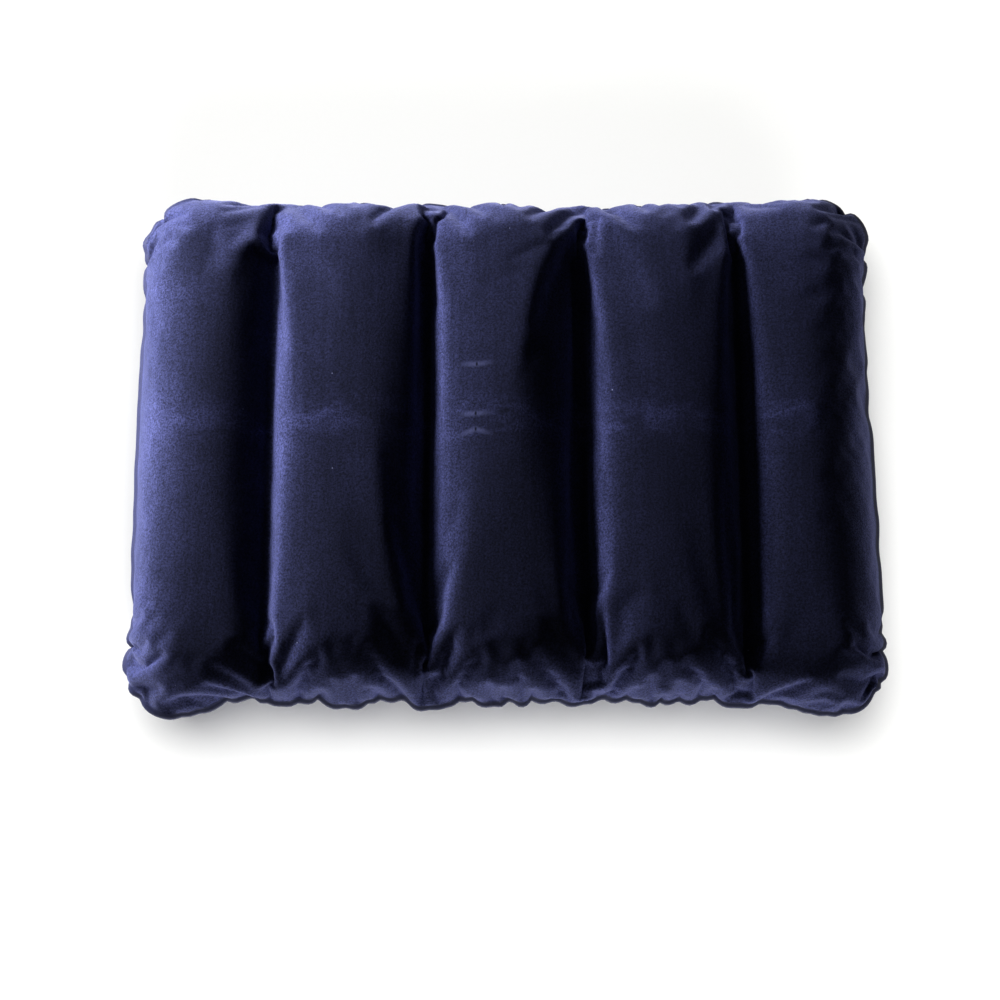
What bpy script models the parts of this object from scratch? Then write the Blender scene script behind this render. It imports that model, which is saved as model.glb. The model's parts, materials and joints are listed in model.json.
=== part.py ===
"""Inflatable camp pillow: two welded sheets held into channels by baffles, with a push-in air valve.

The origin is the middle of the resting side, +X runs along the pillow's long side and +Z is up.
Sizes are in metres. Heights are measured from the weld plane, where the two sheets meet.
"""

import math

import bmesh
import bpy
from mathutils import Vector

# Pillow, inflated
LENGTH = 0.430
DEPTH = 0.305
HEIGHT = 0.090
CORNER_RADIUS = 0.052
CHANNELS = 5
END_CHANNEL_WIDTH = 0.0780  # from the last groove's middle to the weld
GROOVE_SPACE = 0.045  # air height that the baffles hold at a groove
GROOVE_BAND = 0.005  # flat strip of sheet welded to a baffle
REST_FLAT = 0.012  # width of a middle channel's crest that lies flat on the ground
END_ROUND = 0.042  # length over which a channel closes towards the weld
WELD_WIDTH = 0.004

# Sheets
TOP_SHEET = 0.0010  # vinyl and flock
BOTTOM_SHEET = 0.0006
BAFFLE_SHEET = 0.0005
TOUCH_GAP = 0.0003  # between pieces that rest on or are welded to each other
BAFFLE_TAB = 0.004

# Valve, on the end channel's lower flank. Its own frame has +Z along the stem, outwards.
VALVE_TILT = math.radians(35)  # of the valve's axis, below the weld plane
VALVE_Y = 0.040
FLANGE_THICKNESS = 0.0010
SKIRT_WALL = 0.0005
SKIRT_DEPTH = 0.0085  # the skirt turns inside out, so the stem travels twice this
SKIRT_TAPER = 0.0012  # how much narrower the skirt is at its inner end
STEM_LENGTH = 0.0120
STEM_RADIUS = 0.0050
STEM_BORE_RADIUS = STEM_RADIUS - 0.0015
STEM_RIM_RADIUS = STEM_RADIUS + 0.0008
HOLE_RADIUS = STEM_RADIUS + 0.0040  # room for the strap, the plug's tab and the skirt
FLANGE_RADIUS = HOLE_RADIUS + 0.0045
STEM_RIM_THICKNESS = 0.0010
STOWED_DEPTH = 0.0006  # of the plug's outer face below the sheet
PLUG_LENGTH = 0.0060
PLUG_CLEARANCE = 0.00015
PLUG_HEAD_THICKNESS = 0.0014
PLUG_TAB_LENGTH = 0.0018
PLUG_TAB_WIDTH = 0.0045
FLAP_RADIUS = STEM_RADIUS - 0.0005
FLAP_THICKNESS = 0.0006
STRAP_THICKNESS = 0.0007
STRAP_WIDTH = 0.0022
STRAP_TURN = math.radians(180)  # how far the strap wraps round the stem

# Facets
ARC_STEPS = 4
OUTER_ARC_STEPS = 8
END_ROUND_STEPS = 6
MIDDLE_ROWS = 2
TURNED_STEPS = 32
MERGE_DISTANCE = 0.00001

# Worked out from the sizes above
GROOVE_HEIGHT = GROOVE_SPACE / 2
CREST_HEIGHT = (HEIGHT - TOP_SHEET - BOTTOM_SHEET - TOUCH_GAP) / 2
AIR_LENGTH = LENGTH - 2 * WELD_WIDTH
AIR_DEPTH = DEPTH - 2 * WELD_WIDTH
PITCH = (AIR_LENGTH - 2 * END_CHANNEL_WIDTH) / (CHANNELS - 2)
END_SPAN = END_CHANNEL_WIDTH - GROOVE_BAND / 2
END_RADIUS = (END_SPAN**2 + GROOVE_HEIGHT**2) / (2 * END_SPAN)
END_CREST_X = AIR_LENGTH / 2 - END_RADIUS
WELD_PLANE = max(CREST_HEIGHT, END_RADIUS) + TOUCH_GAP / 2 + BOTTOM_SHEET
GROOVES = [(i - CHANNELS / 2) * PITCH for i in range(1, CHANNELS)]

# ---------------------------------------------------------------- scene and materials


def clear_scene():
    for obj in list(bpy.data.objects):
        bpy.data.objects.remove(obj, do_unlink=True)


def collection(name):
    made = bpy.data.collections.new(name)
    bpy.context.scene.collection.children.link(made)
    return made


def material(name, colour, roughness):
    made = bpy.data.materials.new(name)
    made.use_nodes = True
    shader = made.node_tree.nodes["Principled BSDF"]
    shader.inputs["Base Color"].default_value = (*colour, 1)
    shader.inputs["Roughness"].default_value = roughness
    shader.inputs["Metallic"].default_value = 0
    return made


def add_object(name, data, parts, finish=None, parent=None):
    obj = bpy.data.objects.new(name, data)
    parts.objects.link(obj)
    if finish:
        data.materials.append(finish)
    obj.parent = parent
    return obj


def mesh_of(bm, name):
    mesh = bpy.data.meshes.new(name)
    bm.to_mesh(mesh)
    bm.free()
    return mesh


def smooth(obj, angle=math.radians(40)):
    obj.data.shade_smooth()
    obj.data.set_sharp_from_angle(angle=angle)


# ---------------------------------------------------------------- sheets


def middle_channel(centre):
    """(x, height) across one middle channel: an arc up, the flat crest and an arc down."""
    run = (PITCH - GROOVE_BAND - REST_FLAT) / 2
    rise = CREST_HEIGHT - GROOVE_HEIGHT
    radius = (run**2 + rise**2) / (2 * rise)
    sweep = 2 * math.atan2(rise, run)
    right = []
    for step in range(ARC_STEPS + 1):
        angle = sweep * step / ARC_STEPS
        x = REST_FLAT / 2 + radius * math.sin(angle)
        right.append((x, CREST_HEIGHT - radius * (1 - math.cos(angle))))
    left = [(centre - x, height) for x, height in reversed(right)]
    return left + [(centre + x, height) for x, height in right]


def end_channel(side):
    """(x, height) across an end channel, a circle about the weld plane. side is 1 at +X, -1 at -X."""
    inner = math.acos(GROOVE_HEIGHT / END_RADIUS)
    angles = [-inner * (1 - step / ARC_STEPS) for step in range(ARC_STEPS)]
    angles += [math.pi / 2 * step / OUTER_ARC_STEPS for step in range(OUTER_ARC_STEPS + 1)]
    stations = [
        (side * (END_CREST_X + END_RADIUS * math.sin(a)), END_RADIUS * math.cos(a))
        for a in angles
    ]
    return stations[::side]


def stations_along_length():
    stations = end_channel(-1)
    for channel in range(1, CHANNELS - 1):
        stations += middle_channel((channel - (CHANNELS - 1) / 2) * PITCH)
    return stations + end_channel(1)


def half_depth(x):
    """Half the air space's depth at x: its outline is a rectangle with round corners."""
    radius = CORNER_RADIUS - WELD_WIDTH
    into_corner = min(abs(x) - (AIR_LENGTH / 2 - radius), radius)
    straight = AIR_DEPTH / 2 - radius
    if into_corner <= 0:
        return AIR_DEPTH / 2
    return straight + math.sqrt(max(radius**2 - into_corner**2, 0))


def rows_across_depth(x):
    """(y, share of the full height) at one station, from the weld at -Y to the weld at +Y."""
    edge = half_depth(x)
    angles = [math.pi / 2 * step / END_ROUND_STEPS for step in range(END_ROUND_STEPS + 1)]
    near = [(END_ROUND * (1 - math.cos(a)) - edge, math.sin(a)) for a in angles]
    start = near[-1][0]
    middle = [(start * (1 - 2 * step / MIDDLE_ROWS), 1) for step in range(1, MIDDLE_ROWS)]
    return near + middle + [(-y, share) for y, share in reversed(near)]


def outward(point):
    """The direction away from the pillow, level, at a point on its outline."""
    core_x = LENGTH / 2 - CORNER_RADIUS
    core_y = DEPTH / 2 - CORNER_RADIUS
    nearest = Vector((max(-core_x, min(core_x, point.x)), max(-core_y, min(core_y, point.y)), point.z))
    return (point - nearest).normalized()


def sheet(name, side, thickness, finish, parts):
    """One sheet: its air side as a grid, a weld margin round it, and its thickness added outwards."""
    stations = stations_along_length()
    rows = len(rows_across_depth(0))
    bm = bmesh.new()
    bmesh.ops.create_grid(bm, x_segments=len(stations) - 1, y_segments=rows - 1, size=1)
    bm.verts.ensure_lookup_table()
    for index, vert in enumerate(bm.verts):
        x, height = stations[index % len(stations)]
        y, share = rows_across_depth(x)[index // len(stations)]
        vert.co = (x, y, WELD_PLANE + side * (TOUCH_GAP / 2 + height * share))
    rim = [edge for edge in bm.edges if edge.is_boundary]
    extruded = bmesh.ops.extrude_edge_only(bm, edges=rim)["geom"]
    for vert in (g for g in extruded if isinstance(g, bmesh.types.BMVert)):
        vert.co += outward(vert.co) * WELD_WIDTH
        vert.co.z = WELD_PLANE + side * TOUCH_GAP / 2
    bmesh.ops.recalc_face_normals(bm, faces=bm.faces)
    bm.normal_update()
    if sum(face.normal.z * face.calc_area() for face in bm.faces) * side < 0:
        bmesh.ops.reverse_faces(bm, faces=bm.faces)
    obj = add_object(name, mesh_of(bm, name), parts, finish)
    smooth(obj)
    wall = obj.modifiers.new("sheet_thickness", "SOLIDIFY")
    wall.thickness = thickness
    wall.offset = 1
    wall.use_even_offset = True
    return obj


def baffle(number, groove_x, finish, parts):
    """A strip between the sheets at one groove, its edges folded into tabs welded to the sheets."""
    top = GROOVE_HEIGHT - TOUCH_GAP / 2
    web = BAFFLE_TAB / 2 - BAFFLE_SHEET
    tab = BAFFLE_TAB / 2
    outline = [
        (-tab, -top),
        (tab, -top),
        (tab, BAFFLE_SHEET - top),
        (-web, BAFFLE_SHEET - top),
        (-web, top - BAFFLE_SHEET),
        (tab, top - BAFFLE_SHEET),
        (tab, top),
        (-tab, top),
    ]
    curve = bpy.data.curves.new(f"baffle_{number}", "CURVE")
    curve.dimensions = "2D"
    curve.fill_mode = "BOTH"
    curve.extrude = AIR_DEPTH / 2 - END_ROUND
    spline = curve.splines.new("POLY")
    spline.points.add(len(outline) - 1)
    for point, (x, z) in zip(spline.points, outline):
        point.co = (x, z, 0, 1)
    spline.use_cyclic_u = True
    obj = add_object(f"baffle_{number}", curve, parts, finish)
    obj.rotation_euler.x = math.pi / 2
    obj.location = (groove_x, 0, WELD_PLANE)


# ---------------------------------------------------------------- valve

# Levels along the valve's axis, from the sheet's outer face
SHEET_FACET = END_RADIUS * (1 - math.cos(math.pi / 4 / OUTER_ARC_STEPS))  # a facet's dip below the arc
HEAD_TOP = -STOWED_DEPTH
HEAD_BOTTOM = HEAD_TOP - PLUG_HEAD_THICKNESS
STEM_TOP = HEAD_BOTTOM - TOUCH_GAP
STEM_BOTTOM = STEM_TOP - STEM_LENGTH
FLAP_TOP = STEM_BOTTOM - TOUCH_GAP
FLANGE_TOP = -BOTTOM_SHEET - SHEET_FACET - TOUCH_GAP
SKIRT_RADIUS = HOLE_RADIUS - 2 * TOUCH_GAP
FLANGE_BORE_RADIUS = SKIRT_RADIUS + TOUCH_GAP


def turned(name, profile, parts, finish, parent):
    """A turned solid. Its (radius, height) points go down the outer side and back up the inner one."""
    mesh = bpy.data.meshes.new(name)
    closed = profile[0][0] > 0
    edges = [(i, i + 1) for i in range(len(profile) - 1)]
    if closed:
        edges.append((len(profile) - 1, 0))
    mesh.from_pydata([(radius, 0, height) for radius, height in profile], edges, [])
    obj = add_object(name, mesh, parts, finish, parent)
    screw = obj.modifiers.new("turning", "SCREW")
    screw.steps = screw.render_steps = TURNED_STEPS
    screw.use_merge_vertices = True
    screw.merge_threshold = MERGE_DISTANCE
    screw.use_smooth_shade = True
    return obj


def as_mesh(obj):
    """The object with its modifiers applied, for shapes that go on to be bent or joined."""
    graph = bpy.context.evaluated_depsgraph_get()
    obj.data = bpy.data.meshes.new_from_object(obj.evaluated_get(graph))
    obj.modifiers.clear()
    return obj


def valve_frame(parts):
    """An empty on the sheet's outer face, with +Z out along the valve's axis and +X down the flank."""
    empty = add_object("valve_frame", None, parts)
    reach = END_RADIUS + BOTTOM_SHEET
    empty.location = (
        END_CREST_X + reach * math.cos(VALVE_TILT),
        VALVE_Y,
        WELD_PLANE - TOUCH_GAP / 2 - reach * math.sin(VALVE_TILT),
    )
    empty.rotation_euler.y = math.pi / 2 + VALVE_TILT
    empty.empty_display_size = STEM_LENGTH
    return empty


def cut_valve_hole(bottom, frame, cutters):
    bm = bmesh.new()
    bmesh.ops.create_cone(
        bm,
        cap_ends=True,
        segments=TURNED_STEPS,
        radius1=HOLE_RADIUS,
        radius2=HOLE_RADIUS,
        depth=STEM_LENGTH,
    )
    cutter = add_object("valve_hole_cutter", mesh_of(bm, "valve_hole_cutter"), cutters, None, frame)
    cutter.hide_render = True
    cutter.display_type = "WIRE"
    cut = bottom.modifiers.new("valve_hole", "BOOLEAN")
    cut.object = cutter


def valve_flange(parts, finish, frame):
    """A ring welded inside the bottom sheet, bent to the end channel's curve."""
    profile = [
        (FLANGE_RADIUS, FLANGE_TOP),
        (FLANGE_RADIUS, FLANGE_TOP - FLANGE_THICKNESS),
        (FLANGE_BORE_RADIUS, FLANGE_TOP - FLANGE_THICKNESS),
        (FLANGE_BORE_RADIUS, FLANGE_TOP),
    ]
    ring = as_mesh(turned("valve_flange", profile, parts, finish, frame))
    bend_radius = END_RADIUS - SHEET_FACET - TOUCH_GAP
    for vert in ring.data.vertices:
        vert.co.z -= bend_radius - math.sqrt(bend_radius**2 - vert.co.x**2)
    smooth(ring)


def valve_skirt(parts, finish, frame):
    """The thin cup that lets the stem push in and pop out."""
    floor = SKIRT_RADIUS - SKIRT_TAPER
    lip = STEM_RADIUS + TOUCH_GAP
    profile = [
        (SKIRT_RADIUS, -SHEET_FACET),
        (floor, -SKIRT_DEPTH),
        (lip, -SKIRT_DEPTH),
        (lip, SKIRT_WALL - SKIRT_DEPTH),
        (floor - SKIRT_WALL, SKIRT_WALL - SKIRT_DEPTH),
        (SKIRT_RADIUS - SKIRT_WALL, -SHEET_FACET),
    ]
    turned("valve_skirt", profile, parts, finish, frame)


def valve_stem(parts, finish, frame):
    """The tube that is blown into, with a rim under the skirt's floor."""
    rim_top = -SKIRT_DEPTH - TOUCH_GAP
    profile = [
        (STEM_RADIUS, STEM_TOP),
        (STEM_RADIUS, rim_top),
        (STEM_RIM_RADIUS, rim_top),
        (STEM_RIM_RADIUS, rim_top - STEM_RIM_THICKNESS),
        (STEM_RADIUS, rim_top - STEM_RIM_THICKNESS),
        (STEM_RADIUS, STEM_BOTTOM),
        (STEM_BORE_RADIUS, STEM_BOTTOM),
        (STEM_BORE_RADIUS, STEM_TOP),
    ]
    turned("valve_stem", profile, parts, finish, frame)


def valve_plug(parts, finish, frame, cutters):
    """A round stopper with a pull tab on its head."""
    shank = STEM_BORE_RADIUS - PLUG_CLEARANCE
    chamfer = shank / 4
    profile = [
        (0, HEAD_TOP),
        (STEM_RADIUS, HEAD_TOP),
        (STEM_RADIUS, HEAD_BOTTOM),
        (shank, HEAD_BOTTOM),
        (shank, STEM_TOP - PLUG_LENGTH + chamfer),
        (shank - chamfer, STEM_TOP - PLUG_LENGTH),
        (0, STEM_TOP - PLUG_LENGTH),
    ]
    plug = turned("valve_plug", profile, parts, finish, frame)
    bm = bmesh.new()
    bmesh.ops.create_cube(bm, size=1)
    tab = add_object("plug_tab_shape", mesh_of(bm, "plug_tab_shape"), cutters, None, frame)
    length = PLUG_TAB_LENGTH + STEM_RADIUS / 2
    thickness = PLUG_HEAD_THICKNESS / 2
    for vert in tab.data.vertices:
        vert.co = Vector((vert.co.x * PLUG_TAB_WIDTH, vert.co.y * length, vert.co.z * thickness))
    tab.location = (0, STEM_RADIUS + PLUG_TAB_LENGTH - length / 2, (HEAD_TOP + HEAD_BOTTOM) / 2)
    tab.hide_render = True
    tab.display_type = "WIRE"
    join = plug.modifiers.new("pull_tab", "BOOLEAN")
    join.operation = "UNION"
    join.object = tab


def valve_flap(parts, finish, frame):
    """The check flap under the stem. Its object's origin is on its hinge line."""
    bm = bmesh.new()
    bmesh.ops.create_cone(
        bm,
        cap_ends=True,
        segments=TURNED_STEPS,
        radius1=FLAP_RADIUS,
        radius2=FLAP_RADIUS,
        depth=FLAP_THICKNESS,
    )
    bmesh.ops.translate(bm, verts=bm.verts, vec=(FLAP_RADIUS, 0, -FLAP_THICKNESS / 2))
    flap = add_object("valve_flap", mesh_of(bm, "valve_flap"), parts, finish, frame)
    flap.location = (-FLAP_RADIUS, 0, FLAP_TOP)
    smooth(flap)


def plug_strap(parts, finish, frame):
    """The tether: a flat strap that wraps round the stem from the skirt's floor up to the plug's head."""
    radius = STEM_RADIUS + TOUCH_GAP + STRAP_THICKNESS / 2
    low = SKIRT_WALL - SKIRT_DEPTH + TOUCH_GAP + STRAP_WIDTH / 2
    high = HEAD_TOP - STRAP_WIDTH / 2
    steps = TURNED_STEPS // 2
    curve = bpy.data.curves.new("plug_strap", "CURVE")
    curve.dimensions = "3D"
    curve.twist_mode = "Z_UP"
    curve.bevel_depth = STRAP_THICKNESS / 2
    curve.bevel_resolution = 2
    curve.extrude = (STRAP_WIDTH - STRAP_THICKNESS) / 2
    curve.use_fill_caps = True
    spline = curve.splines.new("POLY")
    spline.points.add(steps)
    for step, point in enumerate(spline.points):
        share = step / steps
        angle = STRAP_TURN * share + math.pi / 2
        eased = share * share * (3 - 2 * share)
        point.co = (radius * math.cos(angle), radius * math.sin(angle), low + (high - low) * eased, 1)
    add_object("plug_strap", curve, parts, finish, frame)


# ---------------------------------------------------------------- assembly


def main():
    clear_scene()
    parts = collection("camp_pillow")
    cutters = collection("cutters")
    flock = material("navy_flock", (0.027, 0.030, 0.105), 0.95)
    vinyl = material("navy_vinyl", (0.020, 0.024, 0.085), 0.45)
    valve_vinyl = material("valve_vinyl", (0.10, 0.12, 0.26), 0.40)

    sheet("top_panel", 1, TOP_SHEET, flock, parts)
    bottom = sheet("bottom_panel", -1, BOTTOM_SHEET, vinyl, parts)
    for number, groove_x in enumerate(GROOVES, start=1):
        baffle(number, groove_x, vinyl, parts)

    frame = valve_frame(parts)
    cut_valve_hole(bottom, frame, cutters)
    valve_flange(parts, valve_vinyl, frame)
    valve_skirt(parts, valve_vinyl, frame)
    valve_stem(parts, valve_vinyl, frame)
    valve_plug(parts, valve_vinyl, frame, cutters)
    valve_flap(parts, valve_vinyl, frame)
    plug_strap(parts, valve_vinyl, frame)


main()
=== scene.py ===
"""Dresses the camp pillow: its inflated skin, welded rim, push-in valve, materials and studio."""

import json
import math

import bpy
import numpy as np
from bpy.props import FloatProperty, FloatVectorProperty, IntProperty, PointerProperty
from mathutils import Matrix, Vector, noise
from mathutils.geometry import delaunay_2d_cdt


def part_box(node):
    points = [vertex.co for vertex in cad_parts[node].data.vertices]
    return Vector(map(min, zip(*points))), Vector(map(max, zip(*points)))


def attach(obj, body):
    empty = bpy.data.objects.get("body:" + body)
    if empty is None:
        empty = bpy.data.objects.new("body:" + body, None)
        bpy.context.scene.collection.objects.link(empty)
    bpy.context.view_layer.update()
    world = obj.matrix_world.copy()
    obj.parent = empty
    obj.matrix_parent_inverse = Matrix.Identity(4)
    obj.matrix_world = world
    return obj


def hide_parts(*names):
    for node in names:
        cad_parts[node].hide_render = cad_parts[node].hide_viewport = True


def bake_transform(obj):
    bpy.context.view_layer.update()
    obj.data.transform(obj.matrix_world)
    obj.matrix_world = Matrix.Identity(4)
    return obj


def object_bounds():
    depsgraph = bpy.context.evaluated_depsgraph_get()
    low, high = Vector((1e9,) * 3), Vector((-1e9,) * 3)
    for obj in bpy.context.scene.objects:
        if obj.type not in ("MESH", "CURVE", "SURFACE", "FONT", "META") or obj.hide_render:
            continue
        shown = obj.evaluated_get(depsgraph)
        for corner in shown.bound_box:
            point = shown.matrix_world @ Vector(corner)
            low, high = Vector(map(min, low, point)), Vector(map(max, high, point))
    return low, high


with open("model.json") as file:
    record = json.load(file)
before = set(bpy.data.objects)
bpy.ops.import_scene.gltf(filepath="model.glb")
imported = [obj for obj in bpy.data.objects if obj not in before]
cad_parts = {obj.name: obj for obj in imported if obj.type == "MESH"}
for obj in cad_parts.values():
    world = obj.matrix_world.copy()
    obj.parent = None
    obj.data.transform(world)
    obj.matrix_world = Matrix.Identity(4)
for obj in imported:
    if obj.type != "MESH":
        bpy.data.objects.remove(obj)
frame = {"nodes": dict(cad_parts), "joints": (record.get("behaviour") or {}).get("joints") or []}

bl_info = {
    "name": "Camp Pillow",
    "version": (1, 0, 0),
    "blender": (4, 5, 0),
    "location": "3D View > Sidebar > Camp Pillow",
    "description": "Makes an inflated, flocked camp pillow and its push-in valve round a frame",
    "category": "Object",
}

CAD_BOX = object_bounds()
MM = 0.001

# ---------------------------------------------------------------- places, from the frame

BAFFLES = sorted(name for name in frame["nodes"] if name.startswith("baffle_"))
BAFFLE_LOW, BAFFLE_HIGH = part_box(BAFFLES[0])
WELD_PLANE = (BAFFLE_LOW.z + BAFFLE_HIGH.z) / 2
GROOVE_HEIGHT = (BAFFLE_HIGH.z - BAFFLE_LOW.z) / 2
BAFFLE_REACH = BAFFLE_HIGH.y
GROOVES = sorted((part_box(name)[0].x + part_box(name)[1].x) / 2 for name in BAFFLES)
PITCH = GROOVES[1] - GROOVES[0]
HALF_LENGTH = CAD_BOX[1].x
HALF_DEPTH = CAD_BOX[1].y
HEIGHT = CAD_BOX[1].z
SHEET_GAP = 0.15 * MM
# Creases from packing, on the middle channel: x, y, and how steeply their wings drop.
CREASES = (
    (-16.0 * MM, 36 * MM, -0.05),
    (-16.5 * MM, 7 * MM, 0.0),
    (-16.5 * MM, -2 * MM, 0.35),
)
# Rings of points round the valve's hole. The second is the hole's edge.
VALVE_RINGS = (5 * MM, 9 * MM, 11.5 * MM, 14.5 * MM)
VALVE_RING_POINTS = (12, 32, 32, 32)
# The sheets lie this far from their weld's plane before they fill.
FLAT_GAP = 1.0 * MM
# Frames of the simulation: the sheets are full at the first, and are let go between the others.
FULL_FRAME, HOLD_FRAME, FREE_FRAME = 8, 10, 14
HOLD_STIFFNESS = 40
# How rounded the moulded pieces' edges are: thick ones, and thin ones.
THICK_EDGE = 0.15 * MM
THIN_EDGE = 0.1 * MM
# The floor is a square this far each way, just under the pillow.
FLOOR_REACH = 6
FLOOR_LEVEL = -0.3 * MM
# Soft lights: azimuth, elevation, distance, size across and up, and watts.
LIGHTS = {
    "key": (153, 17.5, 0.95, (0.5, 0.24), 15),
    "fill": (140, 50, 1.6, (1.2, 1.2), 0.4),
    "floor_wash": (125, 76, 2.4, (2.4, 2.4), 68),
    "floor_bounce": (-75, 24, 1.7, (1.6, 0.7), 18),
    "under": (262, -42, 1.6, (1.6, 1.6), 14),
}
# The shoves that start the sheets' puckers, and the seed that picks which way each one falls.
SHOVE = 0.3 * MM
SHOVE_SEED = 3


def valve_place():
    """The valve's axes: +Z out along the stem, +Y along the channel, and 0 at the sheet's face."""
    slide = next(joint for joint in frame["joints"] if joint["name"] == "stem_slide")
    out = Vector(slide["axis"]).normalized()
    stem = [vertex.co for vertex in frame["nodes"]["valve_stem"].data.vertices]
    middle = sum(stem, Vector()) / len(stem)
    skirt = [vertex.co for vertex in frame["nodes"]["valve_skirt"].data.vertices]
    mouth = max((point - middle) @ out for point in skirt)
    along = Vector((0, 1, 0))
    turn = Matrix((along.cross(out), along, out)).transposed().to_4x4()
    return Matrix.Translation(middle + out * mouth) @ turn


VALVE = valve_place()


# ---------------------------------------------------------------- sizes a user would change


def size(name, description, default):
    """A length property in metres, shown to a hundredth of a millimetre."""
    return FloatProperty(
        name=name, description=description, default=default, unit="LENGTH", precision=5
    )


def colour(name, description, default):
    """A colour property whose default is an sRGB hex value."""
    return FloatVectorProperty(
        name=name,
        description=description,
        default=linear(default),
        subtype="COLOR",
        size=3,
        min=0,
        max=1,
    )


def linear(hexadecimal):
    """An sRGB hex colour as linear red, green and blue."""
    channels = [int(hexadecimal[i : i + 2], 16) / 255 for i in (1, 3, 5)]
    return tuple(c / 12.92 if c <= 0.04045 else ((c + 0.055) / 1.055) ** 2.4 for c in channels)


class PillowSizes(bpy.types.PropertyGroup):
    """Sizes of the skin and its weld."""

    top_sheet: size("Top Sheet", "Thickness of the flocked sheet, pile included", 0.0010)
    bottom_sheet: size("Bottom Sheet", "Thickness of the plain sheet", 0.0006)
    weld_width: size("Weld Width", "Width of the welded rim", 0.0040)
    weld_curl: FloatProperty(
        name="Weld Curl",
        description="How far the rim's edge turns down",
        default=math.radians(65),
        subtype="ANGLE",
    )
    groove_band: size("Groove Band", "Width of the strip welded to a baffle", 0.0050)
    pattern_slack: size("Crest Slack", "How far the sheets let the crests rise", 0.0010)
    pattern_depth: size("Pattern Depth", "Half the sheets' cut depth, from weld to weld", 0.1705)
    pattern_scallop: size("Pattern Scallop", "Taken off the sheets' depth at a groove", 0.0060)
    pattern_corner: size("Pattern Corner", "Corner radius that the sheets are cut to", 0.0500)
    pattern_trim: size("Pattern Trim", "Cut from each end channel's width", 0.0075)
    rest_press: size("Rest Press", "How far its weight presses the bottom's crests flat", 0.0012)
    cell: size("Cloth Cell", "Spacing of the simulated cloth's points", 0.0046)
    fold_line: size("Fold Line", "Where the pack's fold crosses the channels", 0.0060)


class PillowColours(bpy.types.PropertyGroup):
    """Colours of the vinyl, its flock and the studio."""

    flock: colour("Flock", "Upright pile", "#313455")
    flock_deep: colour("Deep Flock", "Pile that leans away", "#242742")
    flock_pressed: colour("Pressed Flock", "Pile laid flat by folding", "#4A4E7C")
    vinyl: colour("Vinyl", "The bottom sheet and the baffles", "#1E2350")
    valve: colour("Valve Vinyl", "The valve's soft moulding", "#2C3470")
    floor: colour("Floor", "The studio's floor", "#F4F4F2")


class PillowCloth(bpy.types.PropertyGroup):
    """How the sheets behave while they are blown up."""

    frames: IntProperty(name="Frames", description="Length of the simulation", default=50, min=20)
    pressure: FloatProperty(name="Pressure", description="Air pressure", default=150)
    stretch: FloatProperty(name="Stretch Stiffness", description="Against pulling", default=1000)
    crush: FloatProperty(name="Crush Stiffness", description="Against crushing", default=200)
    shear: FloatProperty(name="Shear Stiffness", description="Against skewing", default=100)
    bend: FloatProperty(name="Bending Stiffness", description="Against folding", default=15)


# ---------------------------------------------------------------- materials


def add_node(tree, kind, values=None, links=None, **settings):
    """Adds a node. settings are its own, values fill its sockets and links join outputs to them."""
    made = tree.nodes.new(kind)
    for name, value in settings.items():
        setattr(made, name, value)
    for socket, value in (values or {}).items():
        made.inputs[socket].default_value = value
    for socket, source in (links or {}).items():
        tree.links.new(source, made.inputs[socket])
    return made


def new_material(name, **shader_values):
    """A material with a Principled BSDF whose constant settings are given as socket_name=value."""
    made = bpy.data.materials.new(name)
    made.use_nodes = True
    shader = made.node_tree.nodes["Principled BSDF"]
    for socket, value in shader_values.items():
        shader.inputs[socket.replace("_", " ").title().replace("Ior", "IOR")].default_value = value
    return made, made.node_tree, shader


def per_metre(millimetres):
    """A texture scale that repeats every so many millimetres."""
    return 1000 / millimetres


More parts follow.
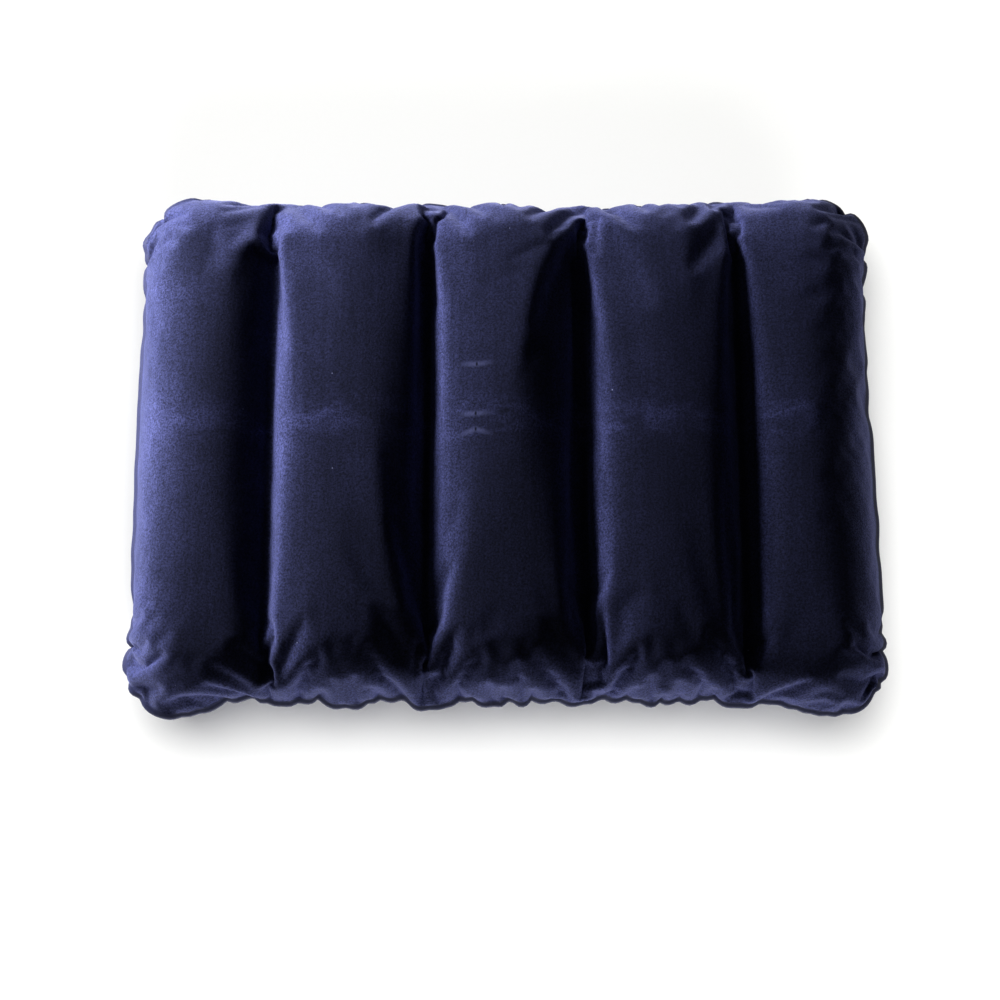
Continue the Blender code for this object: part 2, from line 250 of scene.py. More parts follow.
def flocked_vinyl(colours, sizes):
    """Nylon flock, electrostatically planted on vinyl: dark head on and glowing at its edge, from
    its sheen and from a painted sheen in its colour.
    """
    made, tree, shader = new_material(
        "flocked_vinyl",
        roughness=0.95,
        specular_ior_level=0.15,
        sheen_weight=0.75,
        sheen_roughness=0.5,
        sheen_tint=(*linear("#A6ABDE"), 1),
    )
    place = add_node(tree, "ShaderNodeTexCoord").outputs["Object"]
    # Fibres are about 0.02 mm thick, too fine to see, so tufts of pile are drawn 1.1 mm across.
    nap = add_node(
        tree,
        "ShaderNodeTexNoise",
        {"Scale": per_metre(1.1), "Detail": 3, "Roughness": 0.75},
        {"Vector": place},
    )
    # Handling turns the pile in patches about 35 mm across.
    patches = add_node(
        tree,
        "ShaderNodeTexNoise",
        {"Scale": per_metre(35), "Detail": 4, "Roughness": 0.55, "Distortion": 0.4},
        {"Vector": place},
    )
    # Rolling the vinyl leaves streaks about 2 mm wide and 70 mm long, down the channels.
    drawn_out = add_node(
        tree,
        "ShaderNodeMapping",
        {"Scale": (per_metre(2.2), per_metre(70), per_metre(30))},
        {"Vector": place},
    )
    streaks = add_node(
        tree,
        "ShaderNodeTexNoise",
        {"Scale": 1, "Detail": 2},
        {"Vector": drawn_out.outputs[0]},
    )
    lean = add_node(
        tree,
        "ShaderNodeMix",
        {"Factor": 0.35},
        {"A": patches.outputs["Fac"], "B": streaks.outputs["Fac"]},
    )
    share = add_node(
        tree,
        "ShaderNodeMapRange",
        {"From Min": 0.36, "From Max": 0.64},
        {"Value": lean.outputs["Result"]},
    )
    pile = add_node(
        tree,
        "ShaderNodeMix",
        {"A": (*colours.flock_deep, 1), "B": (*colours.flock, 1)},
        {"Factor": share.outputs[0]},
        data_type="RGBA",
    )
    # Painted sheen: the pile's colour is darkened where it is seen end on and lightened where it is
    # seen side on.
    edge_on = add_node(tree, "ShaderNodeLayerWeight", {"Blend": 0.5})
    painted_sheen_gain = add_node(
        tree,
        "ShaderNodeMapRange",
        {"From Min": 0.03, "From Max": 0.5, "To Min": 0.5, "To Max": 2.0},
        {"Value": edge_on.outputs["Facing"]},
    )
    pile_with_painted_sheen = add_node(
        tree,
        "ShaderNodeVectorMath",
        links={0: pile.outputs["Result"], "Scale": painted_sheen_gain.outputs[0]},
        operation="SCALE",
    )
    pressed = fold_marks(tree, place, sizes)
    folded = add_node(
        tree,
        "ShaderNodeMix",
        {"B": (*colours.flock_pressed, 1)},
        {"Factor": pressed, "A": pile_with_painted_sheen.outputs[0]},
        data_type="RGBA",
    )
    tufts = add_node(
        tree,
        "ShaderNodeMapRange",
        {"From Min": 0.36, "From Max": 0.66, "To Min": 0.3, "To Max": 2.2},
        {"Value": nap.outputs["Fac"]},
    )
    tufted = add_node(
        tree,
        "ShaderNodeVectorMath",
        links={0: folded.outputs["Result"], "Scale": tufts.outputs[0]},
        operation="SCALE",
    )
    creased = tufted.outputs[0]
    for x, y, slope in CREASES:
        creased = crease(tree, place, creased, colours, x, y, slope)
    lint = lint_specks(tree, place)
    finished = add_node(
        tree,
        "ShaderNodeMix",
        {"B": (*linear("#9A9FC4"), 1)},
        {"Factor": lint, "A": creased},
        data_type="RGBA",
    )
    tree.links.new(finished.outputs["Result"], shader.inputs["Base Color"])
    bump = add_node(
        tree,
        "ShaderNodeBump",
        {"Strength": 0.6, "Distance": 0.5 * MM},
        {"Height": nap.outputs["Fac"]},
    )
    tree.links.new(bump.outputs[0], shader.inputs["Normal"])
    return made


def crease(tree, place, colour_in, colours, x, y, slope):
    """A little crease left by packing: a nick 2 mm long, darkened with painted shade, between two
    wings of pressed pile.
    """
    from_nick = add_node(
        tree, "ShaderNodeVectorMath", {1: (x, y, 0)}, {0: place}, operation="SUBTRACT"
    )
    parts = add_node(tree, "ShaderNodeSeparateXYZ", links={"Vector": from_nick.outputs[0]})
    aside = add_node(tree, "ShaderNodeMath", links={0: parts.outputs["X"]}, operation="ABSOLUTE")
    drop = add_node(
        tree,
        "ShaderNodeMath",
        {1: slope},
        {0: aside.outputs[0], 2: parts.outputs["Y"]},
        operation="MULTIPLY_ADD",
    )
    off_wing = add_node(tree, "ShaderNodeMath", links={0: drop.outputs[0]}, operation="ABSOLUTE")
    wing = add_node(
        tree,
        "ShaderNodeMapRange",
        {"From Min": 2.6 * MM, "From Max": 0.1 * MM},
        {"Value": off_wing.outputs[0]},
        interpolation_type="SMOOTHSTEP",
    )
    span = add_node(
        tree,
        "ShaderNodeMapRange",
        {"From Min": 12 * MM, "From Max": 1 * MM, "To Max": 0.4},
        {"Value": aside.outputs[0]},
        interpolation_type="SMOOTHSTEP",
    )
    pale = add_node(
        tree,
        "ShaderNodeMath",
        links={0: wing.outputs[0], 1: span.outputs[0]},
        operation="MULTIPLY",
    )
    winged = add_node(
        tree,
        "ShaderNodeMix",
        {"B": (*linear("#6E73A0"), 1)},
        {"Factor": pale.outputs[0], "A": colour_in},
        data_type="RGBA",
    )
    flattened = add_node(
        tree,
        "ShaderNodeVectorMath",
        {1: (1, 0.5, 0)},
        {0: from_nick.outputs[0]},
        operation="MULTIPLY",
    )
    reach = add_node(
        tree, "ShaderNodeVectorMath", links={0: flattened.outputs[0]}, operation="LENGTH"
    )
    # Painted shade: the nick is coloured near black, as the fold of the crease would be in shadow.
    painted_nick_shade = add_node(
        tree,
        "ShaderNodeMapRange",
        {"From Min": 0.8 * MM, "From Max": 0.3 * MM},
        {"Value": reach.outputs["Value"]},
    )
    made = add_node(
        tree,
        "ShaderNodeMix",
        {"B": (*linear("#05060F"), 1)},
        {"Factor": painted_nick_shade.outputs[0], "A": winged.outputs["Result"]},
        data_type="RGBA",
    )
    return made.outputs["Result"]


def fold_marks(tree, place, sizes):
    """Where the pack's fold laid the pile flat: a broken band across every channel."""
    parts = add_node(tree, "ShaderNodeSeparateXYZ", links={"Vector": place})
    off = add_node(
        tree,
        "ShaderNodeMath",
        {1: sizes.fold_line},
        {0: parts.outputs["Y"]},
        operation="SUBTRACT",
    )
    off = add_node(tree, "ShaderNodeMath", links={0: off.outputs[0]}, operation="ABSOLUTE")
    band = add_node(
        tree,
        "ShaderNodeMapRange",
        {"From Min": 18 * MM, "From Max": 3 * MM, "To Min": 0, "To Max": 0.5},
        {"Value": off.outputs[0]},
        interpolation_type="SMOOTHERSTEP",
    )
    # The pressed pile breaks up into smears about 26 mm long and 13 mm high.
    smear_place = add_node(
        tree,
        "ShaderNodeMapping",
        {"Scale": (per_metre(26), per_metre(13), per_metre(30)), "Location": (0.2, 0, 0)},
        {"Vector": place},
    )
    smears = add_node(
        tree,
        "ShaderNodeTexNoise",
        {"Scale": 1, "Detail": 4, "Roughness": 0.6, "Distortion": 0.5},
        {"Vector": smear_place.outputs[0]},
    )
    broken = add_node(
        tree,
        "ShaderNodeMapRange",
        {"From Min": 0.46, "From Max": 0.72},
        {"Value": smears.outputs["Fac"]},
    )
    pressed = add_node(
        tree,
        "ShaderNodeMath",
        links={0: band.outputs[0], 1: broken.outputs[0]},
        operation="MULTIPLY",
    )
    return pressed.outputs[0]


def lint_specks(tree, place):
    """Lint and dust that flock picks up: specks about half a millimetre across, 20 mm apart."""
    cells = add_node(
        tree,
        "ShaderNodeTexVoronoi",
        {"Scale": per_metre(20)},
        {"Vector": place},
    )
    speck = add_node(
        tree,
        "ShaderNodeMapRange",
        {"From Min": 0.022, "From Max": 0.010},
        {"Value": cells.outputs["Distance"]},
    )
    return speck.outputs[0]


def calendered_vinyl(colours):
    """Soft vinyl, rolled between calenders: a satin skin with a fine grain and rubbed patches."""
    made, tree, shader = new_material(
        "calendered_vinyl",
        roughness=0.42,
        specular_ior_level=0.5,
        ior=1.53,
        coat_weight=0.08,
        coat_roughness=0.3,
    )
    place = add_node(tree, "ShaderNodeTexCoord").outputs["Object"]
    # The rolls leave a grain of about 0.9 mm.
    grain = add_node(
        tree,
        "ShaderNodeTexVoronoi",
        {"Scale": per_metre(0.9)},
        {"Vector": place},
        feature="SMOOTH_F1",
    )
    patches = add_node(
        tree,
        "ShaderNodeTexNoise",
        {"Scale": per_metre(28), "Detail": 5, "Roughness": 0.6},
        {"Vector": place},
    )
    tone = add_node(
        tree,
        "ShaderNodeMapRange",
        {"From Min": 0.3, "From Max": 0.7},
        {"Value": patches.outputs["Fac"]},
    )
    skin = add_node(
        tree,
        "ShaderNodeMix",
        {
            "A": (*[0.8 * channel for channel in colours.vinyl], 1),
            "B": (*[1.25 * channel for channel in colours.vinyl], 1),
        },
        {"Factor": tone.outputs[0]},
        data_type="RGBA",
    )
    tree.links.new(skin.outputs["Result"], shader.inputs["Base Color"])
    rubbed = add_node(
        tree,
        "ShaderNodeMapRange",
        {"From Min": 0.3, "From Max": 0.7, "To Min": 0.34, "To Max": 0.5},
        {"Value": patches.outputs["Fac"]},
    )
    tree.links.new(rubbed.outputs[0], shader.inputs["Roughness"])
    bump = add_node(
        tree,
        "ShaderNodeBump",
        {"Strength": 0.25, "Distance": 0.06 * MM},
        {"Height": grain.outputs["Distance"]},
    )
    tree.links.new(bump.outputs[0], shader.inputs["Normal"])
    return made


def welded_rim(colours):
    """Vinyl and flock fused by a high-frequency weld: crushed flat, and a little glossy."""
    made, tree, shader = new_material(
        "high_frequency_weld",
        roughness=0.6,
        specular_ior_level=0.25,
        ior=1.53,
    )
    place = add_node(tree, "ShaderNodeTexCoord").outputs["Object"]
    crushed = add_node(
        tree,
        "ShaderNodeTexNoise",
        {"Scale": per_metre(1.5), "Detail": 4, "Roughness": 0.7},
        {"Vector": place},
    )
    skin = add_node(
        tree,
        "ShaderNodeMix",
        {"A": (*colours.flock_deep, 1), "B": (*colours.flock_pressed, 1)},
        {"Factor": crushed.outputs["Fac"]},
        data_type="RGBA",
    )
    tree.links.new(skin.outputs["Result"], shader.inputs["Base Color"])
    bump = add_node(
        tree,
        "ShaderNodeBump",
        {"Strength": 0.3, "Distance": 0.1 * MM},
        {"Height": crushed.outputs["Fac"]},
    )
    tree.links.new(bump.outputs[0], shader.inputs["Normal"])
    return made


def moulded_vinyl(colours):
    """Soft vinyl, injection moulded: semi-matt and a little waxy, with a spark-eroded texture."""
    made, tree, shader = new_material(
        "moulded_vinyl",
        roughness=0.36,
        specular_ior_level=0.5,
        ior=1.53,
        subsurface_weight=0.15,
        subsurface_radius=(0.4, 0.5, 1.0),
        subsurface_scale=1.5 * MM,
    )
    place = add_node(tree, "ShaderNodeTexCoord").outputs["Object"]
    texture = add_node(
        tree,
        "ShaderNodeTexNoise",
        {"Scale": per_metre(0.35), "Detail": 2},
        {"Vector": place},
    )
    cloud = add_node(
        tree,
        "ShaderNodeTexNoise",
        {"Scale": per_metre(6), "Detail": 3},
        {"Vector": place},
    )
    skin = add_node(
        tree,
        "ShaderNodeMix",
        {
            "A": (*[0.82 * channel for channel in colours.valve], 1),
            "B": (*[1.2 * channel for channel in colours.valve], 1),
        },
        {"Factor": cloud.outputs["Fac"]},
        data_type="RGBA",
    )
    tree.links.new(skin.outputs["Result"], shader.inputs["Base Color"])
    bump = add_node(
        tree,
        "ShaderNodeBump",
        {"Strength": 0.2, "Distance": 0.04 * MM},
        {"Height": texture.outputs["Fac"]},
    )
    tree.links.new(bump.outputs[0], shader.inputs["Normal"])
    return made


def studio_sweep(colours):
    """Matt painted board: an even, pale floor with the faintest tooth."""
    made, tree, shader = new_material("painted_board", roughness=0.9, specular_ior_level=0.1)
    place = add_node(tree, "ShaderNodeTexCoord").outputs["Object"]
    tooth = add_node(
        tree,
        "ShaderNodeTexNoise",
        {"Scale": per_metre(2), "Detail": 2},
        {"Vector": place},
    )
    board = add_node(
        tree,
        "ShaderNodeMix",
        {"A": (*[0.985 * channel for channel in colours.floor], 1), "B": (*colours.floor, 1)},
        {"Factor": tooth.outputs["Fac"]},
        data_type="RGBA",
    )
    tree.links.new(board.outputs["Result"], shader.inputs["Base Color"])
    # From below the board isn't seen, so the underside can be looked at.
    below = add_node(tree, "ShaderNodeNewGeometry").outputs["Backfacing"]
    clear = add_node(tree, "ShaderNodeBsdfTransparent").outputs[0]
    sides = add_node(
        tree, "ShaderNodeMixShader", links={0: below, 1: shader.outputs[0], 2: clear}
    )
    tree.links.new(sides.outputs[0], tree.nodes["Material Output"].inputs["Surface"])
    return made


# ---------------------------------------------------------------- the sheets, flat and blown up


class Pattern:
    """The flat sheets, in their own (u, v) places, and where each place goes when they are full."""

    def __init__(self, sizes):
        band = sizes.groove_band
        self.band = band
        self.corner = sizes.pattern_corner
        self.depth = sizes.pattern_depth
        self.air_length = HALF_LENGTH - sizes.weld_width
        self.air_depth = HALF_DEPTH - sizes.weld_width
        rise = HEIGHT - sizes.top_sheet - WELD_PLANE - GROOVE_HEIGHT + sizes.pattern_slack
        run = (PITCH - band) / 2
        self.radius = (run**2 + rise**2) / (2 * rise)
        self.half_angle = 2 * math.atan2(rise, run)
        self.arc = 2 * self.radius * self.half_angle
        span = self.air_length - GROOVES[-1] - band / 2
        self.end_radius = (span**2 + GROOVE_HEIGHT**2) / (2 * span)
        self.end_crest = self.air_length - self.end_radius
        self.end_inner = math.acos(GROOVE_HEIGHT / self.end_radius)
        self.end_arc = (self.end_inner + math.pi / 2) * self.end_radius
        self.period = self.arc + band
        self.last_band = (len(GROOVES) - 1) / 2 * self.period + band / 2
        self.trim = sizes.pattern_trim
        self.length = self.last_band + self.end_arc - self.trim
        self.scallop_depth = sizes.pattern_scallop

    def across(self, u):
        """(x, height) of a place across the full channels, at their middle."""
        away = abs(u)
        if away <= self.last_band:
            step = round(away / self.period)
            offset = away - step * self.period
            if abs(offset) <= self.arc / 2:
                angle = offset / self.radius
                x = step * PITCH + self.radius * math.sin(angle)
                height = GROOVE_HEIGHT + self.radius * (math.cos(angle) - math.cos(self.half_angle))
            else:
                beyond = (PITCH - self.band) / 2 + abs(offset) - self.arc / 2
                x = step * PITCH + math.copysign(beyond, offset)
                height = GROOVE_HEIGHT
        else:
            share = (away - self.last_band) / (self.length - self.last_band)
            given = self.trim * share * share * (3 - 2 * share)
            angle = (away - self.last_band + given) / self.end_radius - self.end_inner
            x = self.end_crest + self.end_radius * math.sin(angle)
            height = self.end_radius * math.cos(angle)
        return math.copysign(x, u), height

    def scallop(self, u):
        """How much less deep the sheet is cut at u, because a groove needs less than a crest."""
        away = abs(abs(u) - self.period * (1.5 if abs(u) > self.period else 0.5)) / self.period
        return self.scallop_depth * math.cos(math.pi * min(away, 0.5)) ** 2

    def corner_cut(self, u):
        into_corner = abs(u) - (self.length - self.corner)
        if into_corner <= 0:
            return 0
        return self.corner - math.sqrt(max(self.corner**2 - into_corner**2, 0))

    def edge(self, u):
        """Half the sheet's cut depth at u."""
        return self.depth - self.corner_cut(u) - self.scallop(u)

    def inside(self, u, v):
        """How far a place is inside the weld."""
        into_u = abs(u) - (self.length - self.corner)
        into_v = abs(v) - (self.depth - self.corner)
        if into_u > 0 and into_v > 0:
            return self.corner - math.hypot(into_u, into_v)
        return min(self.length - abs(u), self.depth - self.scallop(u) - abs(v))

    def inflated(self, u, v):
        """(x, y, height above the weld plane) of a place on the full pillow, before it puckers."""
        x, height = self.across(u)
        from_edge = self.edge(u) - abs(v)
        free_end = self.depth - self.scallop(u) - BAFFLE_REACH
        turn = min(from_edge / free_end, 1) * math.pi / 2
        closing = self.air_depth - BAFFLE_REACH
        y = self.air_depth - self.corner_cut(u) - closing * (1 - math.cos(turn))
        y -= max(from_edge - free_end, 0)
        return x, math.copysign(max(y, 0), v), height * math.sin(turn)

    def border(self, spacing):
        """Points along the weld, anticlockwise, from the start of the +U, +V corner."""
        core_u, core_v = self.length - self.corner, self.depth - self.corner
        around = round(self.corner * math.pi / 2 / spacing)
        points = []
        for quarter, (side_u, side_v) in enumerate(((1, 1), (-1, 1), (-1, -1), (1, -1))):
            for step in range(around):
                angle = math.pi / 2 * (quarter + step / around)
                points.append(
                    Vector(
                        (
                            side_u * core_u + self.corner * math.cos(angle),
                            side_v * core_v + self.corner * math.sin(angle),
                        )
                    )
                )
            straight = 2 * (core_v if quarter % 2 else core_u)
            steps = round(straight / spacing)
            angle = math.pi / 2 * (quarter + 1)
            start = Vector(
                (
                    side_u * core_u + self.corner * math.cos(angle),
                    side_v * core_v + self.corner * math.sin(angle),
                )
            )
            along = Vector((-math.sin(angle), math.cos(angle))) * straight
            points += [start + along * (step / steps) for step in range(steps)]
        for point in points:
            if abs(point.x) <= core_u:
                point.y = math.copysign(self.edge(point.x), point.y)
        return points

    def rows(self, spacing):
        """Staggered rows of points inside the weld, with one along each edge of a groove band."""
        columns = round(self.arc / (spacing * math.sqrt(3) / 2))
        step = self.arc / columns
        channels = len(GROOVES) - 1
        middle = [
            (k - (channels - 1) / 2) * self.period - self.arc / 2 + column * step
            for k in range(channels)
            for column in range(columns + 1)
        ]
        ends = [self.last_band + column * step for column in range(int(self.end_arc / step))]
        places = sorted(middle + ends + [-u for u in ends])
        down = self.depth / round(self.depth / spacing)
        points = []
        for index, u in enumerate(places):
            shift = down / 2 if index % 2 else 0
            reach = int(self.depth / down) + 1
            for row in range(-reach, reach + 1):
                v = row * down + shift
                if self.inside(u, v) > 0.55 * spacing:
                    points.append(Vector((u, v)))
        return points


def valve_in_pattern(pattern):
    """Where the valve's middle is on the flat bottom sheet, and its angle below the weld."""
    out = VALVE.to_3x3() @ Vector((0, 0, 1))
    below = math.asin(-out.z)
    return Vector((pattern.length - pattern.end_radius * below, VALVE.translation.y))


def triangles(points, border_count):
    edges = [(i, (i + 1) % border_count) for i in range(border_count)]
    placed, _, faces, *_ = delaunay_2d_cdt(points, edges, [], 1, 1e-7)
    if len(placed) != len(points):
        raise RuntimeError("the cut sheet's points have merged")
    return [tuple(face) for face in faces]


class CutSheets:
    """Both sheets, laid flat and sharing their weld, with the place each point is blown up to."""

    def __init__(self, pattern, sizes):
        border = pattern.border(sizes.cell)
        rows = pattern.rows(sizes.cell)
        valve = valve_in_pattern(pattern)
        rings = [valve.copy()]
        for radius, count in zip(VALVE_RINGS, VALVE_RING_POINTS):
            turns = [math.tau * step / count for step in range(count)]
            rings += [valve + radius * Vector((math.cos(turn), math.sin(turn))) for turn in turns]
        clear = VALVE_RINGS[-1] + 0.5 * sizes.cell
        upper = border + rows
        lower = border + rings + [point for point in rows if (point - valve).length > clear]
        self.border_count = len(border)
        self.shift = len(upper) - len(border)
        self.flat = upper + lower[len(border) :]
        self.side = [0] * len(border) + [1] * len(rows) + [-1] * (len(lower) - len(border))
        self.top_faces = triangles(upper, len(border))
        self.bottom_faces = [
            tuple(i if i < len(border) else i + self.shift for i in reversed(face))
            for face in triangles(lower, len(border))
        ]
        first_ring = len(upper)
        self.held = set(range(first_ring, first_ring + len(rings)))
        self.full = [self.blown_up(pattern, valve, i) for i in range(len(self.flat))]
        for index, (u, v) in enumerate(self.flat):
            step = (abs(u) - pattern.last_band + pattern.band / 2) / pattern.period
            in_band = abs(step - round(step)) * pattern.period < pattern.band / 2 + 0.1 * MM
            if in_band and abs(v) <= BAFFLE_REACH and abs(u) <= pattern.last_band + 0.1 * MM:
                self.held.add(index)
        self.valve = valve

    def blown_up(self, pattern, valve, index):
        u, v = self.flat[index]
        side = self.side[index]
        if index in self.held:
            angle = (pattern.length - u) / pattern.end_radius
            x = pattern.end_crest + pattern.end_radius * math.cos(angle)
            return Vector((x, v, -pattern.end_radius * math.sin(angle)))
        x, y, height = pattern.inflated(u, v)
        return Vector((x, y, side * height))

    def unsettled(self, index):
        """A small shove, so that the sheets pucker where their own stiffness takes them."""
        u, v = self.flat[index]
        layer = 3.3 if self.side[index] < 0 else 0
        # One shove pushes about 1/60 m of sheet the same way.
        return SHOVE * noise.noise_vector(Vector((60 * u, 60 * v, layer)))


def blow_up(sheets, cloth):
    """Simulates the flat sheets as they fill. Returns where their points come to rest."""
    # noise_vector is moved about by a seed, which is the clock's unless it is set.
    noise.seed_set(SHOVE_SEED)
    shoves = [sheets.unsettled(index) for index in range(len(sheets.flat))]
    full = [place + shove for place, shove in zip(sheets.full, shoves)]
    flat = [
        Vector((u, v, side * FLAT_GAP)) + shove
        for (u, v), side, shove in zip(sheets.flat, sheets.side, shoves)
    ]
    mesh = bpy.data.meshes.new("flat_sheets")
    mesh.from_pydata(flat, [], sheets.top_faces + sheets.bottom_faces)
    skin = bpy.data.objects.new("flat_sheets", mesh)
    bpy.context.scene.collection.objects.link(skin)
    skin.shape_key_add(name="flat")
    key = skin.shape_key_add(name="full")
    key.data.foreach_set("co", np.array(full, np.float32).ravel())
    for frame_number, value in ((1, 0), (FULL_FRAME, 1)):
        key.value = value
        key.keyframe_insert("value", frame=frame_number)
    group = skin.vertex_groups.new(name="held")
    group.add(list(range(len(flat))), 0.5, "REPLACE")
    group.add(sorted(sheets.held), 1.0, "REPLACE")
    modifier = skin.modifiers.new("inflating", "CLOTH")
    settings = modifier.settings
    settings.quality = 8
    settings.mass = 0.01
    settings.air_damping = 2
    settings.tension_stiffness = cloth.stretch
    settings.compression_stiffness = cloth.crush
    settings.shear_stiffness = cloth.shear
    settings.bending_stiffness = cloth.bend
    settings.tension_damping = settings.compression_damping = settings.shear_damping = 5
    settings.bending_damping = 0.5
    settings.use_pressure = True
    settings.uniform_pressure_force = cloth.pressure
    settings.vertex_group_mass = "held"
    settings.effector_weights.gravity = 0
    modifier.collision_settings.use_collision = False
    # The soft pins carry the flat sheets up to the full shape, and then let go.
    for frame_number, value in ((1, HOLD_STIFFNESS), (HOLD_FRAME, HOLD_STIFFNESS), (FREE_FRAME, 0)):
        settings.pin_stiffness = value
        skin.keyframe_insert('modifiers["inflating"].settings.pin_stiffness', frame=frame_number)
    modifier.point_cache.frame_start = 1
    modifier.point_cache.frame_end = cloth.frames + 1
    for frame_number in range(1, cloth.frames + 1):
        bpy.context.scene.frame_set(frame_number)
    evaluated = skin.evaluated_get(bpy.context.evaluated_depsgraph_get())
    blown = evaluated.to_mesh()
    places = np.array([vertex.co for vertex in blown.vertices])
    evaluated.to_mesh_clear()
    bpy.context.scene.frame_set(1)
    bpy.data.objects.remove(skin)
    return places


def settle(places, sheets, sizes):
    """Brings the crests to the frame's height, and flattens the bottom where it rests."""
    top = HEIGHT - sizes.top_sheet - WELD_PLANE - SHEET_GAP
    floor = sizes.bottom_sheet + SHEET_GAP - WELD_PLANE
    above = places[:, 2] > 0
    places[above, 2] *= top / places[:, 2].max()
    places[~above, 2] *= (floor - sizes.rest_press) / places[:, 2].min()
    places[:, 2] = np.maximum(places[:, 2], floor)
    places[:, 2] += WELD_PLANE
    return places


def rim_strips(border, sizes):
    """Rings of points outside the air's edge, for the welded rim."""
    count = len(border)
    tangents = np.roll(border, -2, axis=0) - np.roll(border, 2, axis=0)
    outward = np.stack([tangents[:, 1], -tangents[:, 0], 0 * tangents[:, 0]], axis=1)
    for _ in range(3):
        outward = outward + np.roll(outward, 1, axis=0) + np.roll(outward, -1, axis=0)
        outward /= np.linalg.norm(outward, axis=1)[:, None]
    strips = []
    ring = border
    for share in (0.4, 1.0):
        down = np.array((0, 0, -math.sin(sizes.weld_curl * share)))
        ring = ring + (outward * math.cos(sizes.weld_curl * share) + down) * sizes.weld_width / 2
        strips.append(ring)
    return strips


def sheet_piece(name, places, faces, border_count, sizes, side):
    """One sheet with its half of the welded rim. The rim's faces take the second material."""
    used = sorted({index for face in faces for index in face} | set(range(border_count)))
    at = {index: place for place, index in enumerate(used)}
    points = places[used]
    strips = rim_strips(points[:border_count], sizes)
    points = np.concatenate([points, *strips])
    points[:, 2] += side * SHEET_GAP
    all_faces = [tuple(at[index] for index in face) for face in faces]
    skin_count = len(all_faces)
    starts = [0, len(used), len(used) + border_count]
    for inner, outer in zip(starts, starts[1:]):
        for i in range(border_count):
            j = (i + 1) % border_count
            face = (inner + i, outer + i, outer + j, inner + j)
            all_faces.append(face if side > 0 else face[::-1])
    mesh = bpy.data.meshes.new(name)
    mesh.from_pydata([tuple(point) for point in points], [], all_faces)
    rim_count = len(all_faces) - skin_count
    mesh.polygons.foreach_set("material_index", [0] * skin_count + [1] * rim_count)
    mesh.shade_smooth()
    piece = bpy.data.objects.new(name, mesh)
    bpy.context.scene.collection.objects.link(piece)
    smoother = piece.modifiers.new("smoother", "SUBSURF")
    smoother.levels = smoother.render_levels = 1
    thickness = piece.modifiers.new("thickness", "SOLIDIFY")
    thickness.thickness = sizes.top_sheet if side > 0 else sizes.bottom_sheet
    thickness.offset = 1
    return piece


# ---------------------------------------------------------------- operators


class PILLOW_OT_skin(bpy.types.Operator):
    """Cuts two flat sheets, welds them, blows them up and adds their thickness"""

    bl_idname = "camp_pillow.skin"
    bl_label = "Inflated Skin"

    def execute(self, context):
        scene = context.scene
        sizes, colours = scene.pillow_sizes, scene.pillow_colours
        sheets = CutSheets(Pattern(sizes), sizes)
        places = settle(blow_up(sheets, scene.pillow_cloth), sheets, sizes)
        hole = VALVE_RINGS[1]
        open_faces = []
        for face in sheets.bottom_faces:
            middle = sum((sheets.flat[i] for i in face), Vector((0, 0))) / 3
            if (middle - sheets.valve).length > hole:
                open_faces.append(face)
        flock = flocked_vinyl(colours, sizes)
        vinyl = calendered_vinyl(colours)
        weld = welded_rim(colours)
        top = sheet_piece("top_sheet", places, sheets.top_faces, sheets.border_count, sizes, 1)
        bottom = sheet_piece("bottom_sheet", places, open_faces, sheets.border_count, sizes, -1)
        for piece, skin, node, slot in (
            (top, flock, "top_panel", "navy_flock"),
            (bottom, vinyl, "bottom_panel", "navy_vinyl"),
        ):
            piece.data.materials.append(skin)
            piece.data.materials.append(weld)
            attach(piece, "pillow")
            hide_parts(node)
        return {"FINISHED"}


class PILLOW_OT_baffles(bpy.types.Operator):
    """Gives the baffles inside the pillow their vinyl"""

    bl_idname = "camp_pillow.baffles"
    bl_label = "Baffles"

    def execute(self, context):
        vinyl = calendered_vinyl(context.scene.pillow_colours)
        for name in BAFFLES:
            for slot in frame["nodes"][name].material_slots:
                slot.material = vinyl
        return {"FINISHED"}


def moulding(node, name, material, bevel):
    """A moulded piece with the CAD node's shape and softened edges."""
    mesh = frame["nodes"][node].data.copy()
    mesh.name = name
    mesh.materials.clear()
    mesh.materials.append(material)
    mesh.polygons.foreach_set("material_index", [0] * len(mesh.polygons))
    mesh.shade_smooth()
    mesh.set_sharp_from_angle(angle=math.radians(32))
    piece = bpy.data.objects.new(name, mesh)
    bpy.context.scene.collection.objects.link(piece)
    softened = piece.modifiers.new("softened", "BEVEL")
    softened.width = bevel
    softened.segments = 2
    softened.angle_limit = math.radians(40)
    softened.harden_normals = True
    return piece


class PILLOW_OT_valve(bpy.types.Operator):
    """Makes the valve's flange, skirt, stem, flap, plug and strap"""

    bl_idname = "camp_pillow.valve"
    bl_label = "Valve"

    def execute(self, context):
        vinyl = moulded_vinyl(context.scene.pillow_colours)
        rigid = (
            ("valve_flange", "flange", "pillow"),
            ("valve_stem", "stem", "stem"),
            ("valve_flap", "flap", "flap"),
            ("valve_plug", "plug", "plug"),
        )
        for node, name, body in rigid:
            piece = moulding(node, name, vinyl, THICK_EDGE)
            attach(piece, body)
            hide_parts(node)
        skirt = moulding("valve_skirt", "skirt", vinyl, THIN_EDGE)
        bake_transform(skirt)
        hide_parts("valve_skirt")
        strap = moulding("plug_strap", "strap", vinyl, THIN_EDGE)
        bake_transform(strap)
        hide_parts("plug_strap")
        return {"FINISHED"}


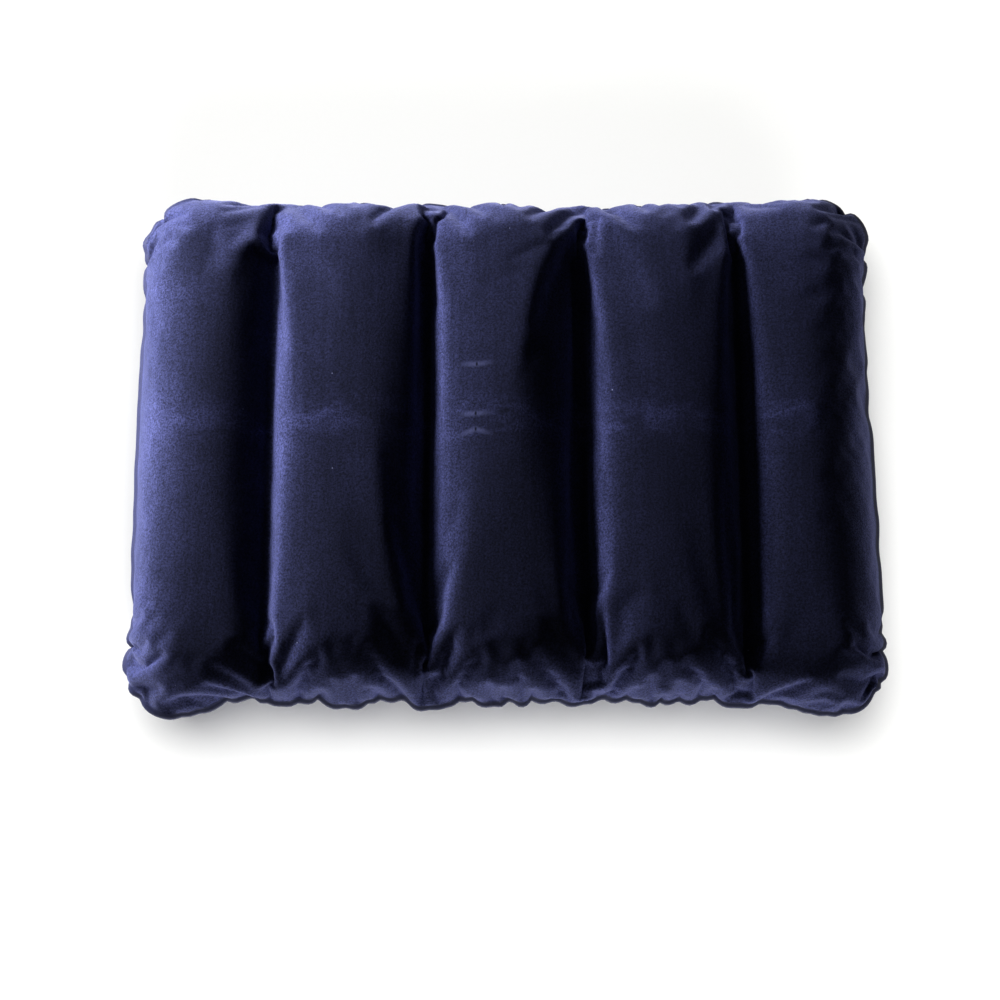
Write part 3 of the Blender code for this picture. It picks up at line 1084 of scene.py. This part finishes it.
class PILLOW_OT_stage(bpy.types.Operator):
    """Sets up the pale floor, the soft side light and the camera overhead"""

    bl_idname = "camp_pillow.stage"
    bl_label = "Stage"

    def execute(self, context):
        scene = context.scene
        mesh = bpy.data.meshes.new("floor")
        corners = [
            (x * FLOOR_REACH, y * FLOOR_REACH, FLOOR_LEVEL)
            for x, y in ((-1, -1), (1, -1), (1, 1), (-1, 1))
        ]
        mesh.from_pydata(corners, [], [(0, 1, 2, 3)])
        mesh.materials.append(studio_sweep(scene.pillow_colours))
        floor = bpy.data.objects.new("floor", mesh)
        scene.collection.objects.link(floor)
        middle = Vector((0, 0, HEIGHT / 2))
        for name, (azimuth, elevation, distance, extent, power) in LIGHTS.items():
            light = area_light(name, middle, azimuth, elevation, distance, extent, power)
            links_to(light, floor, "INCLUDE" if name.startswith("floor") else "EXCLUDE")
        # The floor lets the under light through, in place of its own bounce.
        light.light_linking.blocker_collection = light.light_linking.receiver_collection
        world = bpy.data.worlds.new("studio")
        world.use_nodes = True
        background = world.node_tree.nodes["Background"]
        background.inputs["Color"].default_value = (*linear("#FFFFFF"), 1)
        background.inputs["Strength"].default_value = 0.025
        scene.world = world
        scene.view_settings.view_transform = "Standard"
        scene.view_settings.look = "Medium High Contrast"
        camera = bpy.data.objects.new("camera", bpy.data.cameras.new("camera"))
        scene.collection.objects.link(camera)
        camera.data.lens = 60.7
        aim = Vector((-0.003, -0.032, HEIGHT / 2))
        face(camera, aim, -90, 76, 0.97)
        scene.camera = camera
        return {"FINISHED"}


def face(placed, aim, azimuth, elevation, distance):
    """Puts a light or camera so far from aim, looking at it. Azimuth 0 is +X, elevation 90 up."""
    turn, rise = math.radians(azimuth), math.radians(elevation)
    level = math.cos(rise)
    away = Vector((math.cos(turn) * level, math.sin(turn) * level, math.sin(rise)))
    placed.location = aim + away * distance
    placed.rotation_euler = (-away).to_track_quat("-Z", "Y").to_euler()


def area_light(name, aim, azimuth, elevation, distance, extent, power):
    """A soft rectangular light that the camera doesn't see."""
    light = bpy.data.lights.new(name, "AREA")
    light.shape = "RECTANGLE"
    light.size, light.size_y = extent
    light.energy = power
    placed = bpy.data.objects.new(name, light)
    placed.visible_camera = False
    bpy.context.scene.collection.objects.link(placed)
    face(placed, aim, azimuth, elevation, distance)
    return placed


def links_to(light, thing, state):
    """Links a light to one thing only, or leaves that thing out."""
    group = bpy.data.collections.new(light.name + "_receivers")
    group.objects.link(thing)
    group.collection_objects[0].light_linking.link_state = state
    light.light_linking.receiver_collection = group


class PILLOW_PT_panel(bpy.types.Panel):
    """Lists the camp pillow's sizes, colours and pieces"""

    bl_idname = "PILLOW_PT_panel"
    bl_label = "Camp Pillow"
    bl_space_type = "VIEW_3D"
    bl_region_type = "UI"
    bl_category = "Camp Pillow"

    def draw(self, context):
        scene = context.scene
        for group in (scene.pillow_sizes, scene.pillow_colours, scene.pillow_cloth):
            box = self.layout.box()
            for name in group.bl_rna.properties.keys():
                if name not in ("rna_type", "name"):
                    box.prop(group, name)
        for operator in OPERATORS:
            self.layout.operator(operator.bl_idname)


OPERATORS = (PILLOW_OT_skin, PILLOW_OT_baffles, PILLOW_OT_valve, PILLOW_OT_stage)
CLASSES = (PillowSizes, PillowColours, PillowCloth, *OPERATORS, PILLOW_PT_panel)


def register():
    for each in CLASSES:
        bpy.utils.register_class(each)
    bpy.types.Scene.pillow_sizes = PointerProperty(type=PillowSizes)
    bpy.types.Scene.pillow_colours = PointerProperty(type=PillowColours)
    bpy.types.Scene.pillow_cloth = PointerProperty(type=PillowCloth)


def unregister():
    del bpy.types.Scene.pillow_cloth
    del bpy.types.Scene.pillow_colours
    del bpy.types.Scene.pillow_sizes
    for each in reversed(CLASSES):
        bpy.utils.unregister_class(each)


def main():
    register()
    bpy.ops.camp_pillow.skin()
    bpy.ops.camp_pillow.baffles()
    bpy.ops.camp_pillow.valve()
    bpy.ops.camp_pillow.stage()


if __name__ == "__main__":
    main()
